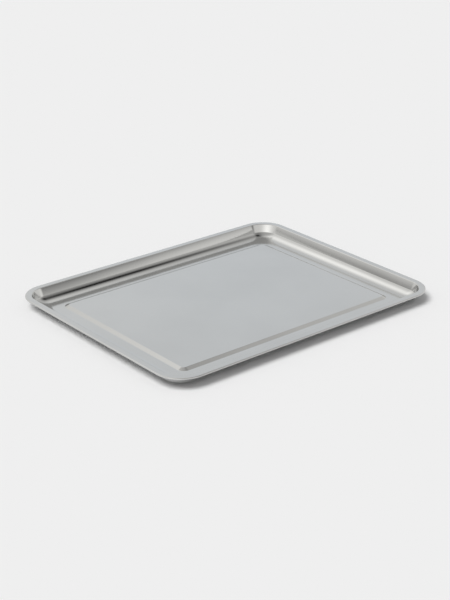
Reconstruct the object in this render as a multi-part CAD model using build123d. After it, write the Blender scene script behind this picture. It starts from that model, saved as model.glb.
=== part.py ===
from build123d import *

import os
from collections import namedtuple
from math import cos, radians, sin

# Cookie sheet: a shallow stamped steel tray with a wired edge, in millimetres
# X runs along the long side, Z is up, and the origin is under the middle of the base

# Overall size, over the rolled edge
length = 400.0
width = 313.0
rim_corner_radius = 34.0

# Depth from the top of the rim down to the top of the base
tray_depth = 14.5

# Sheet, and the level flange from the wall's lip to the outer edge
sheet = 0.5
flange_width = 7.4

# Wall, which steepens all the way down
rim_bend_radius = 0.6
wall_top_angle = 68.5
wall_angle = 74.0
foot_bend_radius = 0.6

# Border of the base, level inside and swept up in a cove to the wall's foot, and the raised panel
border_width = 28.5
border_lift_angle = 26.0
border_sweep_radius = 41.0
panel_rise = 2.1
step_angle = 24.0
step_bend_radius = 1.0
panel_corner_radius = 4.0

# Wire in the rolled edge, and the play that the curl leaves round it
wire_diameter = 1.1
wire_clearance = 0.05
wire_end_gap = 0.6
curl_angle = 270.0

# Heights of the upper skin
base_top = sheet
rim_top = base_top + tray_depth
panel_top = base_top + panel_rise

# Rolled edge
wire_bed_radius = wire_diameter / 2 + wire_clearance
bead_radius = wire_bed_radius + sheet
curl_height = rim_top - bead_radius
flange_run = flange_width - bead_radius

# Heights that the bends of the wall take up, and the sweep that the wall fills the rest with
lip_drop = (rim_bend_radius + sheet) * (1 - cos(radians(wall_top_angle)))
foot_drop = foot_bend_radius * (cos(radians(border_lift_angle)) - cos(radians(wall_angle)))
border_drop = border_sweep_radius * (1 - cos(radians(border_lift_angle)))
wall_drop = tray_depth - lip_drop - foot_drop - border_drop
wall_sweep_radius = wall_drop / (cos(radians(wall_top_angle)) - cos(radians(wall_angle))) - sheet

# Straight run of the step
step_bends = step_bend_radius + sheet + step_bend_radius
step_run = (panel_rise - step_bends * (1 - cos(radians(step_angle)))) / sin(radians(step_angle))

Run = namedtuple("Run", "distance")
Bend = namedtuple("Bend", "radius turn")


def point_from(place, distance, across, up):
    """The point a distance from a place, in the direction that across and up give."""
    return (place[0] + distance * across, place[1] + distance * up)


def skin_arc(centre, radius, first, last):
    """Arc about a centre between two climb angles, whose normals point across by sine and up by cosine."""
    points = []
    for climb in (first, (first + last) / 2, last):
        points.append(point_from(centre, radius, sin(radians(climb)), cos(radians(climb))))
    return ThreePointArc(*points)


def bent_sheet(start, climb, moves):
    """Section of a bent sheet, and the point where its upper skin ends.

    The sheet travels inwards, towards -X, from a start point on its upper skin, and climb is its
    angle above level. A bend's radius is the inside one, and its turn is positive where it rises.
    """
    upper = start
    edges = []
    lower = point_from(upper, -sheet, sin(radians(climb)), cos(radians(climb)))
    edges.append(Line(upper, lower))
    for move in moves:
        across = sin(radians(climb))
        up = cos(radians(climb))
        lower = point_from(upper, -sheet, across, up)
        if isinstance(move, Run):
            next_upper = point_from(upper, move.distance, -up, across)
            next_lower = point_from(lower, move.distance, -up, across)
            edges.append(Line(upper, next_upper))
            edges.append(Line(lower, next_lower))
        else:
            reach = -move.radius if move.turn > 0 else move.radius + sheet
            centre = point_from(upper, -reach, across, up)
            after = climb + move.turn
            edges.append(skin_arc(centre, reach, climb, after))
            edges.append(skin_arc(centre, reach - sheet, climb, after))
            next_upper = point_from(centre, reach, sin(radians(after)), cos(radians(after)))
            climb = after
        upper = next_upper
    lower = point_from(upper, -sheet, sin(radians(climb)), cos(radians(climb)))
    edges.append(Line(upper, lower))
    return make_face(edges), upper


def carried_round(section, corner_radius):
    """A section carried round the tray, along four straight sides and four quarter-turn corners.

    The section's X is 0 at the tray's outer edge and negative inwards, and its Y is the height.
    The corner radius is the one that the path has at the tray's outer edge.
    """
    pieces = []
    corners = [(1, 1), (-1, 1), (-1, -1), (1, -1)]
    for quarter, (side_x, side_y) in enumerate(corners):
        turn = radians(90 * quarter)
        outward = Vector(cos(turn), sin(turn), 0)
        along = Vector(sin(turn), -cos(turn), 0)
        centre_x = side_x * (length / 2 - corner_radius)
        centre_y = side_y * (width / 2 - corner_radius)
        centre = Vector(centre_x, centre_y, 0)
        side = width if quarter % 2 == 0 else length
        plane = Plane(origin=centre + outward * corner_radius, x_dir=outward, z_dir=along)
        placed = plane * section
        pieces.append(extrude(placed, amount=side - 2 * corner_radius, dir=along))
        pieces.append(revolve(placed, axis=Axis(centre, (0, 0, 1)), revolution_arc=90))
    return pieces


def rounded_plate(inset, corner_radius):
    """Flat outline at an inset from the tray's outer edge."""
    return RectangleRounded(length - 2 * inset, width - 2 * inset, corner_radius)


def make_tray_sheet():
    """The stamped sheet, from the end of its curl to the middle of the raised panel."""
    curl_centre = (-bead_radius, curl_height)
    curl_end = point_from(curl_centre, bead_radius, sin(radians(curl_angle)), cos(radians(curl_angle)))
    rim_moves = [
        Bend(wire_bed_radius, -curl_angle),
        Run(flange_run),
        Bend(rim_bend_radius, -wall_top_angle),
        Bend(wall_sweep_radius, wall_top_angle - wall_angle),
        Bend(foot_bend_radius, wall_angle - border_lift_angle),
        Bend(border_sweep_radius, border_lift_angle),
    ]
    rim_section, level_start = bent_sheet(curl_end, curl_angle, rim_moves)
    level_inset = -level_start[0]
    border_inset = level_inset - border_sweep_radius * sin(radians(border_lift_angle))

    step_start = (-border_inset - border_width, base_top)
    step_moves = [
        Bend(step_bend_radius, step_angle),
        Run(step_run),
        Bend(step_bend_radius, -step_angle),
    ]
    step_section, panel_edge = bent_sheet(step_start, 0, step_moves)
    step_inset = -step_start[0]
    panel_inset = -panel_edge[0]

    corner_inset = panel_inset + panel_corner_radius
    border_outline = rounded_plate(level_inset, rim_corner_radius - level_inset)
    border_hole = rounded_plate(step_inset, corner_inset - step_inset)
    panel_outline = rounded_plate(panel_inset, panel_corner_radius)

    pieces = carried_round(rim_section, rim_corner_radius)
    pieces.append(extrude(border_outline - border_hole, amount=sheet))
    pieces += carried_round(step_section, corner_inset)
    pieces.append(Pos(0, 0, panel_rise) * extrude(panel_outline, amount=sheet))
    return pieces[0].fuse(*pieces[1:]).clean()


def make_rim_wire():
    """The wire inside the rolled edge, with its two ends butted in the middle of the far long side."""
    section = Pos(-bead_radius, curl_height) * Circle(wire_diameter / 2)
    pieces = carried_round(section, rim_corner_radius)
    loop = pieces[0].fuse(*pieces[1:]).clean()
    butt = Pos(0, width / 2 - bead_radius, curl_height)
    return loop - butt * Box(wire_end_gap, 2 * bead_radius, 2 * bead_radius)


os.makedirs("parts", exist_ok=True)
export_step(make_tray_sheet(), "parts/tray_sheet.step")
export_step(make_rim_wire(), "parts/rim_wire.step")
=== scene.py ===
from collections import namedtuple
from math import cos, radians, sin

import bpy
from mathutils import Matrix, Vector


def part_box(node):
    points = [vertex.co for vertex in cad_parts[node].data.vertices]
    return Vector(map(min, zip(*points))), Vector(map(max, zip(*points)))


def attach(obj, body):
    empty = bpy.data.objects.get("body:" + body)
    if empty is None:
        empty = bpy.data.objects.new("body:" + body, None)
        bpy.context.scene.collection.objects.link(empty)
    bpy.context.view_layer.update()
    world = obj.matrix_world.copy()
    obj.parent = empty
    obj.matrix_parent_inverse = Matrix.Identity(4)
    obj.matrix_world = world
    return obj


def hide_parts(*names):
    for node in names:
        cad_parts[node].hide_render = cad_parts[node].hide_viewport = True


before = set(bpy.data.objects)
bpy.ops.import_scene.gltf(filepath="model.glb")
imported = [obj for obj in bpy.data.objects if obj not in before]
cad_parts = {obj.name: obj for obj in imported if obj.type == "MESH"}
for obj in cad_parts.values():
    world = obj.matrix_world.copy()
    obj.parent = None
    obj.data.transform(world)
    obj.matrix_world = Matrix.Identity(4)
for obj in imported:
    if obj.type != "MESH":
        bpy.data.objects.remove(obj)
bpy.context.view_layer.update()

MM = 0.001

# Sizes of the pressed sheet, the same as in the CAD model
SHEET = 0.5 * MM
FLANGE_WIDTH = 7.4 * MM
RIM_CORNER_RADIUS = 34.0 * MM
RIM_BEND_RADIUS = 0.6 * MM
WALL_TOP_ANGLE = 68.5
WALL_ANGLE = 74.0
FOOT_BEND_RADIUS = 0.6 * MM
BORDER_WIDTH = 28.5 * MM
BORDER_LIFT_ANGLE = 26.0
BORDER_SWEEP_RADIUS = 41.0 * MM
PANEL_RISE = 2.1 * MM
STEP_ANGLE = 24.0
STEP_BEND_RADIUS = 1.0 * MM
PANEL_CORNER_RADIUS = 4.0 * MM
WIRE_DIAMETER = 1.1 * MM
WIRE_CLEARANCE = 0.05 * MM
CURL_ANGLE = 270.0

# Overall size, from the bounds of the CAD sheet
sheet_low, sheet_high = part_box("tray_sheet")
HALF_LENGTH = (sheet_high.x - sheet_low.x) / 2
HALF_WIDTH = (sheet_high.y - sheet_low.y) / 2
RIM_TOP = sheet_high.z

# Steps in the mesh: how many degrees of a bend one takes, the fewest in a bend, in a corner, along the sides
DEGREES_PER_STEP = 5.0
LEAST_BEND_STEPS = 4
CORNER_STEPS = 28
LONG_STEPS = 24
SHORT_STEPS = 18

# The photograph's camera: where it stands, where it looks, and its lens
CAMERA_PLACE = Vector((-1.0109, -1.2066, 0.6909))
CAMERA_HEADING = -39.91
CAMERA_PITCH = -23.63
CAMERA_ROLL = 0.15
CAMERA_LENS_MM = 85.75
SENSOR_MM = 36.0
CAMERA_SHIFT = (-0.00105, 0.00042)

# The floor, which lies just under the tray, and the grey of the backdrop
FLOOR_HALF = 12.0
FLOOR_DROP = 0.05 * MM
FLOOR_COLOUR = 0.9
BACKGROUND = 0.863


def rgb(red, green, blue):
    return (red, green, blue, 1.0)


def grey(level):
    return rgb(level, level, level)


def add_object(name, data):
    piece = bpy.data.objects.new(name, data)
    bpy.context.scene.collection.objects.link(piece)
    return piece


# Section of the sheet

def section_stations():
    """Stations along the upper skin, from the end of the curl to the edge of the raised panel.

    Each is (inset from the outer edge, height, climb in degrees, True if it turns with the panel's corner).
    The skin's normal points across by sine of the climb and up by its cosine.
    """
    bed = WIRE_DIAMETER / 2 + WIRE_CLEARANCE
    bead = bed + SHEET
    low, high = radians(WALL_TOP_ANGLE), radians(WALL_ANGLE)
    lift = radians(BORDER_LIFT_ANGLE)
    lip_drop = (RIM_BEND_RADIUS + SHEET) * (1 - cos(low))
    foot_drop = FOOT_BEND_RADIUS * (cos(lift) - cos(high))
    border_drop = BORDER_SWEEP_RADIUS * (1 - cos(lift))
    wall_drop = RIM_TOP - SHEET - lip_drop - foot_drop - border_drop
    wall_sweep_radius = wall_drop / (cos(low) - cos(high)) - SHEET
    border_run = BORDER_WIDTH - BORDER_SWEEP_RADIUS * sin(lift)
    step_bends = 2 * STEP_BEND_RADIUS + SHEET
    step_run = (PANEL_RISE - step_bends * (1 - cos(radians(STEP_ANGLE)))) / sin(radians(STEP_ANGLE))
    moves = [
        ("bend", bed, -CURL_ANGLE, False),
        ("run", FLANGE_WIDTH - bead, 0, False),
        ("bend", RIM_BEND_RADIUS, -WALL_TOP_ANGLE, False),
        ("bend", wall_sweep_radius, WALL_TOP_ANGLE - WALL_ANGLE, False),
        ("bend", FOOT_BEND_RADIUS, WALL_ANGLE - BORDER_LIFT_ANGLE, False),
        ("bend", BORDER_SWEEP_RADIUS, BORDER_LIFT_ANGLE, False),
        ("run", border_run, 0, True),
        ("bend", STEP_BEND_RADIUS, STEP_ANGLE, True),
        ("run", step_run, 0, True),
        ("bend", STEP_BEND_RADIUS, -STEP_ANGLE, True),
    ]
    climb = CURL_ANGLE
    inset = bead - bead * sin(radians(climb))
    height = RIM_TOP - bead + bead * cos(radians(climb))
    stations = [(inset, height, climb, False)]
    for kind, size, turn, on_panel in moves:
        if kind == "run":
            inset += size * cos(radians(climb))
            height += size * sin(radians(climb))
            stations.append((inset, height, climb, on_panel))
            continue
        reach = -size if turn > 0 else size + SHEET
        centre_inset = inset + reach * sin(radians(climb))
        centre_height = height - reach * cos(radians(climb))
        steps = max(LEAST_BEND_STEPS, round(abs(turn) / DEGREES_PER_STEP))
        for step in range(1, steps + 1):
            angle = climb + turn * step / steps
            inset = centre_inset - reach * sin(radians(angle))
            height = centre_height + reach * cos(radians(angle))
            stations.append((inset, height, angle, on_panel))
        climb += turn
    return stations


def straight_steps(quarter):
    """Steps along the straight side that follows a corner."""
    return LONG_STEPS if quarter % 2 == 0 else SHORT_STEPS


def path_round(inset, corner_inset):
    """Points and outward directions once round the tray, anticlockwise, at an inset from its outer edge."""
    points = []
    corners = [(1, 1), (-1, 1), (-1, -1), (1, -1)]
    radius = corner_inset - inset
    for quarter, (side_x, side_y) in enumerate(corners):
        centre = Vector((side_x * (HALF_LENGTH - corner_inset), side_y * (HALF_WIDTH - corner_inset), 0))
        for step in range(CORNER_STEPS + 1):
            turn = radians(90 * (quarter + step / CORNER_STEPS))
            outward = Vector((cos(turn), sin(turn), 0))
            points.append((centre + outward * radius, outward))
        next_x, next_y = corners[(quarter + 1) % len(corners)]
        following = Vector((next_x * (HALF_LENGTH - corner_inset), next_y * (HALF_WIDTH - corner_inset), 0))
        steps = straight_steps(quarter)
        for step in range(1, steps):
            points.append((centre.lerp(following, step / steps) + outward * radius, outward))
    return points


class SheetMesh:
    """Gathers the sheet's vertices and faces, with the bent sheet's exact normal at each face corner."""

    def __init__(self):
        self.points = []
        self.faces = []
        self.normals = []

    def ring(self, inset, height, corner_inset):
        first = len(self.points)
        for place, outward in path_round(inset, corner_inset):
            self.points.append((place.x, place.y, height))
        return first

    def face(self, corners, normals):
        self.faces.append(corners)
        self.normals.extend(normals)

    def strip(self, first, second, lean_first, lean_second, outwards, flipped):
        """Quads between two rings. A lean is the ring's normal as (across, up)."""
        count = len(outwards)
        for here in range(count):
            after = (here + 1) % count
            corners = [first + here, first + after, second + after, second + here]
            leans = [lean_first, lean_first, lean_second, lean_second]
            ways = [outwards[here], outwards[after], outwards[after], outwards[here]]
            normals = [Vector((w.x * a, w.y * a, u)) for w, (a, u) in zip(ways, leans)]
            if flipped:
                corners.reverse()
                normals.reverse()
            self.face(corners, normals)

    def plate(self, edge, inset, height, up):
        """Fills the raised panel inside its edge ring: fans in its corners and a grid across the middle."""
        low_x, high_x = inset - HALF_LENGTH, HALF_LENGTH - inset
        low_y, high_y = inset - HALF_WIDTH, HALF_WIDTH - inset
        grid = {}
        for i in range(LONG_STEPS + 1):
            for j in range(SHORT_STEPS + 1):
                grid[i, j] = len(self.points)
                x = low_x + (high_x - low_x) * i / LONG_STEPS
                y = low_y + (high_y - low_y) * j / SHORT_STEPS
                self.points.append((x, y, height))
        faces = []
        for i in range(LONG_STEPS):
            for j in range(SHORT_STEPS):
                faces.append([grid[i, j], grid[i + 1, j], grid[i + 1, j + 1], grid[i, j + 1]])
        corners = [(LONG_STEPS, SHORT_STEPS), (0, SHORT_STEPS), (0, 0), (LONG_STEPS, 0)]
        ways = [(-1, 0), (0, -1), (1, 0), (0, 1)]
        total = 4 * CORNER_STEPS + 2 * (LONG_STEPS + SHORT_STEPS)
        here = 0
        for quarter, (i, j) in enumerate(corners):
            for step in range(CORNER_STEPS):
                faces.append([edge + here, edge + here + 1, grid[i, j]])
                here += 1
            way_i, way_j = ways[quarter]
            for step in range(straight_steps(quarter)):
                after = (here + 1) % total
                near = grid[i + way_i * step, j + way_j * step]
                far = grid[i + way_i * (step + 1), j + way_j * (step + 1)]
                faces.append([edge + here, edge + after, far, near])
                here += 1
        for corners in faces:
            if not up:
                corners.reverse()
            self.face(corners, [Vector((0, 0, 1 if up else -1))] * len(corners))


def build_tray_skin():
    """The pressed sheet as one closed mesh, both skins, with smooth bends."""
    mesh = SheetMesh()
    stations = section_stations()
    panel_inset = stations[-1][0] + PANEL_CORNER_RADIUS
    outwards = [outward for place, outward in path_round(0, RIM_CORNER_RADIUS)]
    upper = []
    lower = []
    for inset, height, climb, on_panel in stations:
        corner_inset = panel_inset if on_panel else RIM_CORNER_RADIUS
        across, up = sin(radians(climb)), cos(radians(climb))
        upper.append((mesh.ring(inset, height, corner_inset), (across, up)))
        below = mesh.ring(inset + SHEET * across, height - SHEET * up, corner_inset)
        lower.append((below, (-across, -up)))
    for (a, lean_a), (b, lean_b) in zip(upper, upper[1:]):
        mesh.strip(a, b, lean_a, lean_b, outwards, False)
    for (a, lean_a), (b, lean_b) in zip(lower, lower[1:]):
        mesh.strip(a, b, lean_a, lean_b, outwards, True)
    climb = radians(stations[0][2])
    end_lean = (cos(climb), -sin(climb))
    mesh.strip(lower[0][0], upper[0][0], end_lean, end_lean, outwards, False)
    mesh.plate(upper[-1][0], panel_inset, SHEET + PANEL_RISE, True)
    mesh.plate(lower[-1][0], panel_inset, PANEL_RISE, False)

    data = bpy.data.meshes.new("tray_skin")
    data.from_pydata(mesh.points, [], mesh.faces)
    data.polygons.foreach_set("use_smooth", [True] * len(data.polygons))
    data.normals_split_custom_set([n.normalized() for n in mesh.normals])
    data.update()
    return add_object("tray_skin", data)


# Materials

# The sheet's greys and roughness, from one end of its clouds to the other
# The greys follow the clouds over CLOUD_SPAN
STEEL_DARK = (0.585, 0.587, 0.585)
STEEL_LIGHT = (0.615, 0.617, 0.615)
STEEL_ROUGHNESS = (0.09, 0.12)
CLOUD_SCALE = 9.0
CLOUD_HARSHNESS = 0.5
CLOUD_SPAN = (0.3, 0.7)

# The sheet's rolled grain, which is long along X and fine across it
GRAIN_SCALES = (40.0, 2600.0, 2600.0)
GRAIN_ROUGHNESS = (-0.01, 0.01)
GRAIN_BUMP = 0.15
GRAIN_DEPTH = 0.04 * MM

# The wire's greys and roughness, from one end of its mottling to the other
WIRE_DARK = (0.36, 0.36, 0.36)
WIRE_LIGHT = (0.5, 0.5, 0.51)
WIRE_ROUGHNESS = (0.3, 0.45)
MOTTLE_SCALE = 900.0

# Shared by the noises: their detail, how harsh the fine ones are, and the span that roughness follows
NOISE_DETAIL = 3.0
FINE_HARSHNESS = 0.6
NOISE_SPAN = (0.2, 0.8)


class Nodes:
    """Short calls for the node trees of materials and the world."""

    def __init__(self, tree):
        self.tree = tree
        tree.nodes.clear()

    def add(self, kind, **settings):
        node = self.tree.nodes.new(kind)
        for name, value in settings.items():
            setattr(node, name, value)
        return node

    def put(self, socket, value):
        if isinstance(value, bpy.types.NodeSocket):
            self.tree.links.new(value, socket)
        else:
            socket.default_value = value

    def math(self, operation, *values):
        node = self.add("ShaderNodeMath", operation=operation)
        for socket, value in zip(node.inputs, values):
            self.put(socket, value)
        return node.outputs[0]

    def vector(self, operation, *values, output=0):
        node = self.add("ShaderNodeVectorMath", operation=operation)
        for socket, value in zip(node.inputs, values):
            self.put(socket, value)
        return node.outputs[output]

    def scaled(self, vector, share):
        node = self.add("ShaderNodeVectorMath", operation="SCALE")
        self.put(node.inputs["Vector"], vector)
        self.put(node.inputs["Scale"], share)
        return node.outputs["Vector"]

    def ramp(self, value, low, high, to_low=0.0, to_high=1.0):
        node = self.add("ShaderNodeMapRange", interpolation_type="SMOOTHSTEP")
        for socket, given in zip(node.inputs, (value, low, high, to_low, to_high)):
            self.put(socket, given)
        return node.outputs[0]

    def mix(self, share, first, second):
        node = self.add("ShaderNodeMix", data_type="RGBA")
        self.put(node.inputs["Factor"], share)
        self.put(node.inputs["A"], first)
        self.put(node.inputs["B"], second)
        return node.outputs["Result"]

    def noise(self, place, scale, harshness):
        node = self.add("ShaderNodeTexNoise")
        self.put(node.inputs["Vector"], place)
        self.put(node.inputs["Scale"], scale)
        self.put(node.inputs["Detail"], NOISE_DETAIL)
        self.put(node.inputs["Roughness"], harshness)
        return node.outputs["Fac"]

    def surface(self, kind, shader):
        output = self.add(kind)
        self.put(output.inputs["Surface"], shader.outputs[0])


def new_material(name):
    """An empty material, and the calls for its node tree."""
    material = bpy.data.materials.new(name)
    material.use_nodes = True
    return material, Nodes(material.node_tree)


def satin_steel():
    """Stainless sheet, slightly cloudy, with a faint rolled grain along X."""
    material, nodes = new_material("satin_steel")
    place = nodes.add("ShaderNodeTexCoord").outputs["Object"]
    grain_place = nodes.vector("MULTIPLY", place, GRAIN_SCALES)
    grain = nodes.noise(grain_place, 1.0, FINE_HARSHNESS)
    cloud = nodes.noise(place, CLOUD_SCALE, CLOUD_HARSHNESS)
    colour = nodes.mix(nodes.ramp(cloud, *CLOUD_SPAN), rgb(*STEEL_DARK), rgb(*STEEL_LIGHT))
    cloud_rough = nodes.ramp(cloud, *NOISE_SPAN, *STEEL_ROUGHNESS)
    grain_rough = nodes.ramp(grain, *NOISE_SPAN, *GRAIN_ROUGHNESS)
    rough = nodes.math("ADD", cloud_rough, grain_rough)
    bump = nodes.add("ShaderNodeBump")
    nodes.put(bump.inputs["Strength"], GRAIN_BUMP)
    nodes.put(bump.inputs["Distance"], GRAIN_DEPTH)
    nodes.put(bump.inputs["Height"], grain)
    shader = nodes.add("ShaderNodeBsdfPrincipled")
    nodes.put(shader.inputs["Metallic"], 1.0)
    nodes.put(shader.inputs["Base Color"], colour)
    nodes.put(shader.inputs["Roughness"], rough)
    nodes.put(shader.inputs["Normal"], bump.outputs["Normal"])
    nodes.surface("ShaderNodeOutputMaterial", shader)
    return material


def drawn_wire():
    """Plain steel wire with a fine mottling."""
    material, nodes = new_material("drawn_wire")
    place = nodes.add("ShaderNodeTexCoord").outputs["Object"]
    mottle = nodes.noise(place, MOTTLE_SCALE, FINE_HARSHNESS)
    colour = nodes.mix(mottle, rgb(*WIRE_DARK), rgb(*WIRE_LIGHT))
    shader = nodes.add("ShaderNodeBsdfPrincipled")
    nodes.put(shader.inputs["Metallic"], 1.0)
    nodes.put(shader.inputs["Base Color"], colour)
    nodes.put(shader.inputs["Roughness"], nodes.ramp(mottle, *NOISE_SPAN, *WIRE_ROUGHNESS))
    nodes.surface("ShaderNodeOutputMaterial", shader)
    return material


def pale_floor():
    material, nodes = new_material("pale_floor")
    shader = nodes.add("ShaderNodeBsdfDiffuse")
    nodes.put(shader.inputs["Color"], grey(FLOOR_COLOUR))
    nodes.surface("ShaderNodeOutputMaterial", shader)
    return material


# Studio

# What the metal sees: pale all round up to HORIZON_TOP degrees, falling to SKY_LEVEL over HORIZON_FADE
SKY_LEVEL = 0.55
HORIZON_TOP = 18.0
HORIZON_FADE = 30.0

# Lights that show in the metal, as a level, the direction and how far it spreads, in degrees
# Right is counted from the camera's heading, and a screen takes its level away
Lamp = namedtuple("Lamp", "level right elevation spread")
MAIN_LIGHT = Lamp(0.8, -13, 43, 6.5)
LEFT_LIGHTS = [Lamp(0.4, -40, 47, 6), Lamp(0.45, -70, 42, 13), Lamp(0.65, -96, 66, 10)]
BACK_LEFT_WINDOW = Lamp(0.65, -155, 11, 20)
RIGHT_LIGHTS = [Lamp(0.3, 31, 46, 5), Lamp(0.2, 100, 6, 7)]
SCREEN_AHEAD = [Lamp(0.6, 17, 50, 4.5), Lamp(0.25, 23, 62, 6)]
SCREEN_RIGHT = [Lamp(0.85, 107, 20, 6), Lamp(0.4, 113, 8, 5)]
LOW_SCREENS = [Lamp(0.6, -90, -2, 7), Lamp(0.4, 8, 4, 9)]
LIGHTS = [MAIN_LIGHT, BACK_LEFT_WINDOW] + LEFT_LIGHTS + RIGHT_LIGHTS
SCREENS = SCREEN_AHEAD + SCREEN_RIGHT + LOW_SCREENS

# The backdrop straight ahead is a little cool, and everything else a little warm
COOL_PART = Lamp(1.0, 1, 20, 9)
COOL = (0.965, 1.0, 1.03)
WARM = (1.01, 1.0, 0.97)

# What the floor is lit by: an even level, and a soft light that throws the shadow
# The soft light comes from the camera's left and from behind it
FLOOR_FILL = 0.38
KEY_RIGHT = -128.0
KEY_ELEVATION = 60.0
KEY_WIDTH = 36.0
KEY_STRENGTH = 2.1


def way_at(right, elevation):
    """World direction at an angle right of the camera's heading and an elevation, both in degrees."""
    heading = radians(CAMERA_HEADING)
    ahead = Vector((-sin(heading), cos(heading), 0))
    beside = Vector((cos(heading), sin(heading), 0))
    level = ahead * cos(radians(right)) + beside * sin(radians(right))
    return level * cos(radians(elevation)) + Vector((0, 0, sin(radians(elevation))))


def soft_light(nodes, way, lamp):
    """The level of a round light with soft edges, in the direction looked in."""
    towards = nodes.vector("DOT_PRODUCT", way, tuple(way_at(lamp.right, lamp.elevation)), output="Value")
    off = nodes.math("DIVIDE", nodes.math("SUBTRACT", towards, 1.0), radians(lamp.spread) ** 2)
    return nodes.math("MULTIPLY", nodes.math("EXPONENT", off), lamp.level)


def build_studio_light():
    """A pale studio, whose lights and screens show in the metal."""
    world = bpy.data.worlds.new("studio")
    world.use_nodes = True
    bpy.context.scene.world = world
    nodes = Nodes(world.node_tree)
    way = nodes.add("ShaderNodeTexCoord").outputs["Generated"]
    upward = nodes.vector("DOT_PRODUCT", way, (0, 0, 1), output="Value")
    elevation = nodes.math("DEGREES", nodes.math("ARCSINE", upward))
    seen = nodes.ramp(elevation, HORIZON_TOP, HORIZON_TOP + HORIZON_FADE, BACKGROUND, SKY_LEVEL)
    for lamp in LIGHTS:
        seen = nodes.math("ADD", seen, soft_light(nodes, way, lamp))
    for screen in SCREENS:
        seen = nodes.math("SUBTRACT", seen, soft_light(nodes, way, screen))
    seen = nodes.math("MAXIMUM", seen, 0.0)
    tint = nodes.mix(soft_light(nodes, way, COOL_PART), rgb(*WARM), rgb(*COOL))
    seen = nodes.scaled(tint, seen)
    rays = nodes.add("ShaderNodeLightPath")
    level = nodes.mix(rays.outputs["Is Glossy Ray"], grey(FLOOR_FILL), seen)
    level = nodes.mix(rays.outputs["Is Camera Ray"], level, grey(BACKGROUND))
    shader = nodes.add("ShaderNodeBackground")
    nodes.put(shader.inputs["Color"], level)
    nodes.surface("ShaderNodeOutputWorld", shader)


def build_key_light():
    """The soft light that throws the shadow. The metal shows the studio instead of it."""
    data = bpy.data.lights.new("key", "SUN")
    data.energy = KEY_STRENGTH
    data.angle = radians(KEY_WIDTH)
    key = add_object("key", data)
    key.rotation_euler = way_at(KEY_RIGHT, KEY_ELEVATION).to_track_quat("Z", "Y").to_euler()
    key.visible_glossy = False


def build_floor():
    data = bpy.data.meshes.new("studio_floor")
    sides = [(-1, -1), (1, -1), (1, 1), (-1, 1)]
    corners = [(x * FLOOR_HALF, y * FLOOR_HALF, -FLOOR_DROP) for x, y in sides]
    data.from_pydata(corners, [], [(0, 1, 2, 3)])
    floor = add_object("studio_floor", data)
    data.materials.append(pale_floor())


def build_camera():
    data = bpy.data.cameras.new("camera")
    data.lens = CAMERA_LENS_MM
    data.sensor_width = SENSOR_MM
    data.shift_x, data.shift_y = CAMERA_SHIFT
    camera = add_object("camera", data)
    turn = Matrix.Rotation(radians(CAMERA_HEADING), 4, "Z")
    tilt = Matrix.Rotation(radians(90 + CAMERA_PITCH), 4, "X")
    roll = Matrix.Rotation(radians(CAMERA_ROLL), 4, "Z")
    camera.matrix_world = Matrix.Translation(CAMERA_PLACE) @ turn @ tilt @ roll
    bpy.context.scene.camera = camera


build_camera()
build_studio_light()
build_key_light()
build_floor()

tray_skin = build_tray_skin()
tray_skin.data.materials.append(satin_steel())
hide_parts("tray_sheet")
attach(tray_skin, "root")

rim_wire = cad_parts["rim_wire"]
rim_wire.data.materials.clear()
rim_wire.data.materials.append(drawn_wire())

bpy.context.scene.view_settings.view_transform = "Standard"
